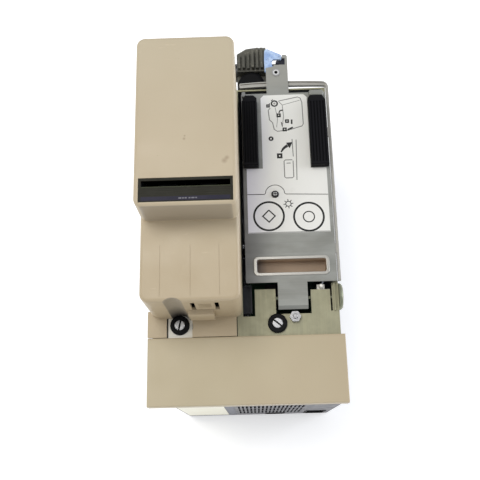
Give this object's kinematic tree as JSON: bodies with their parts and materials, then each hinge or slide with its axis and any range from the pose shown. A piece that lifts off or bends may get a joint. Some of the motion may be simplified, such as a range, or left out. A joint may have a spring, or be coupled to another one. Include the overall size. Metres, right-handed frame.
{
  "type": "bill validator",
  "caption": "Box-shaped bill validator: stepped lift-off head cover with a note slot, latched service lid, metal chassis, belt-driven note path, sensors and boards.",
  "frame": {"origin": "centre of the bounding box in X and Y, on the flat back face of the chassis that the part lies on", "axes": "+Z out of the operator face towards the user, +Y towards the head end with the gearbox and latch, +X to the operator's right"},
  "size_m": [0.168, 0.345, 0.272],
  "materials": {
    "beige_plastic": "fine moulded texture",
    "zinc_sheet": "zinc plated, satin",
    "lid_steel": "satin",
    "tub_steel": "zinc plated, satin",
    "black_plastic": "satin",
    "dark_gloss": "gloss",
    "indicator": "translucent gloss",
    "bright_steel": "bright",
    "label_paper": "printed, satin",
    "brown_liner": "satin",
    "blue_plastic": "satin",
    "grey_casting": "cast, painted",
    "motor_can": "satin",
    "belt_rubber": "matte",
    "tyre_rubber": "matte",
    "shaft_steel": "ground",
    "bush_bronze": "sintered",
    "gear_plastic": "acetal",
    "board_green": "solder mask",
    "chip_black": "moulded",
    "clear_glass": "clear",
    "white_nylon": "nylon",
    "guide_plastic": "smooth"
  },
  "bodies": {
    "chassis": {"chassis_tub": "tub_steel", "front_plate": "zinc_sheet", "front_panel": "beige_plastic", "mid_plate": "tub_steel", "head_frame": "tub_steel", "guide_lower": "guide_plastic", "guide_upper": "guide_plastic", "sensor_windows": "clear_glass", "sensor_bars": "black_plastic", "magnetic_heads": "shaft_steel", "shaft_bushes": "bush_bronze", "path_belt": "belt_rubber", "link_belt": "belt_rubber", "encoder_sensor": "black_plastic", "shutter_solenoid": "motor_can", "head_board": "board_green", "head_board_parts": "chip_black", "main_board": "board_green", "main_board_parts": "chip_black", "board_standoffs": "bright_steel", "io_connectors": "black_plastic", "end_label": "label_paper", "fastener_rings": "black_plastic", "hex_nut": "bright_steel", "hinge_blocks": "zinc_sheet", "hinge_pin": "zinc_sheet", "lid_peg": "white_nylon", "latch_bracket": "zinc_sheet", "gearbox_housing": "grey_casting", "gearbox_cover": "grey_casting", "gearbox_cap": "black_plastic", "housing_screws": "bright_steel", "drive_motor": "motor_can"},
    "cover": {"head_cover": "beige_plastic", "entry_window": "dark_gloss", "light_bar": "indicator"},
    "cover_tab": {"release_tab": "beige_plastic"},
    "lid": {"service_lid": "lid_steel", "finger_recess": "brown_liner", "lid_label": "label_paper", "lid_screw": "bright_steel", "lid_frame": "lid_steel", "hook_rivet": "bright_steel"},
    "grip_l": {"grip_left": "black_plastic"},
    "grip_r": {"grip_right": "black_plastic"},
    "hook": {"latch_hook": "blue_plastic"},
    "fastener_l": {"stud_left": "bright_steel"},
    "fastener_r": {"stud_right": "bright_steel"},
    "rear_rotor": {"rear_drive_shaft": "shaft_steel", "rear_tyres": "tyre_rubber", "link_pulley": "gear_plastic", "encoder_disc": "black_plastic"},
    "entry_rotor": {"entry_drive_shaft": "shaft_steel", "entry_tyres": "tyre_rubber"},
    "pinch_front": {"pinch_roller_front": "gear_plastic"},
    "pinch_rear": {"pinch_roller_rear": "gear_plastic"},
    "gearbox_rotor": {"output_gear": "gear_plastic"},
    "motor_rotor": {"motor_pinion": "shaft_steel"},
    "shutter": {"entry_shutter": "dark_gloss"},
    "plunger": {"shutter_plunger": "shaft_steel"}
  },
  "joints": [
    {"name": "cover_lift", "type": "slide", "parent": "chassis", "child": "cover", "axis": [0, 0, 1], "range_m": [0, 0.12]},
    {"name": "release_tab_press", "type": "slide", "parent": "cover", "child": "cover_tab", "axis": [0, 1, 0], "range_m": [0, 0.002], "stiffness_N_per_m": 600},
    {"name": "lid_hinge", "type": "hinge", "parent": "chassis", "child": "lid", "pos_m": [0.036, -0.0825, 0.1615], "axis": [1, 0, 0], "range_deg": [0, 95]},
    {"name": "grip_left_squeeze", "type": "slide", "parent": "lid", "child": "grip_l", "axis": [1, 0, 0], "range_m": [0, 0.004], "stiffness_N_per_m": 300},
    {"name": "grip_right_squeeze", "type": "slide", "parent": "lid", "child": "grip_r", "axis": [-1, 0, 0], "range_m": [0, 0.004], "stiffness_N_per_m": 300},
    {"name": "latch_hook_turn", "type": "hinge", "parent": "lid", "child": "hook", "pos_m": [0.0345, 0.1334, 0.1685], "axis": [0, 0, 1], "range_deg": [0, 28], "stiffness_Nm_per_rad": 0.04},
    {"name": "stud_left_turn", "type": "hinge", "parent": "chassis", "child": "fastener_l", "pos_m": [-0.0565, -0.1049, 0.167], "axis": [0, 0, 1], "range_deg": [0, 90]},
    {"name": "stud_right_turn", "type": "hinge", "parent": "chassis", "child": "fastener_r", "pos_m": [0.027, -0.1051, 0.167], "axis": [0, 0, 1], "range_deg": [0, 90]},
    {"name": "rear_drive_spin", "type": "hinge", "parent": "chassis", "child": "rear_rotor", "pos_m": [-0.042, -0.0025, 0.055], "axis": [1, 0, 0], "continuous": true},
    {"name": "entry_drive_spin", "type": "hinge", "parent": "chassis", "child": "entry_rotor", "pos_m": [-0.042, -0.0025, 0.227], "axis": [1, 0, 0], "continuous": true},
    {"name": "pinch_front_spin", "type": "hinge", "parent": "chassis", "child": "pinch_front", "pos_m": [-0.042, -0.0229, 0.227], "axis": [1, 0, 0], "continuous": true},
    {"name": "pinch_rear_spin", "type": "hinge", "parent": "chassis", "child": "pinch_rear", "pos_m": [-0.042, -0.0229, 0.055], "axis": [1, 0, 0], "continuous": true},
    {"name": "gearbox_output_spin", "type": "hinge", "parent": "chassis", "child": "gearbox_rotor", "pos_m": [0.014, 0.1395, 0.13], "axis": [1, 0, 0], "continuous": true},
    {"name": "motor_spin", "type": "hinge", "parent": "chassis", "child": "motor_rotor", "pos_m": [0.014, 0.1555, 0.13512], "axis": [1, 0, 0], "continuous": true},
    {"name": "shutter_turn", "type": "hinge", "parent": "chassis", "child": "shutter", "pos_m": [-0.042, -0.0065, 0.259], "axis": [-1, 0, 0], "range_deg": [0, 70]},
    {"name": "solenoid_plunger_slide", "type": "slide", "parent": "chassis", "child": "plunger", "axis": [0, -1, 0], "range_m": [0, 0.0039]}
  ],
  "couplings": [
    {"joint": "entry_drive_spin", "follows": "rear_drive_spin", "ratio": 1},
    {"joint": "pinch_front_spin", "follows": "rear_drive_spin", "ratio": -2.2623},
    {"joint": "pinch_rear_spin", "follows": "rear_drive_spin", "ratio": -2.2623},
    {"joint": "gearbox_output_spin", "follows": "rear_drive_spin", "ratio": 1.6571},
    {"joint": "motor_spin", "follows": "rear_drive_spin", "ratio": -4.1429},
    {"joint": "shutter_turn", "follows": "solenoid_plunger_slide", "rad_per_m": 313.26}
  ]
}
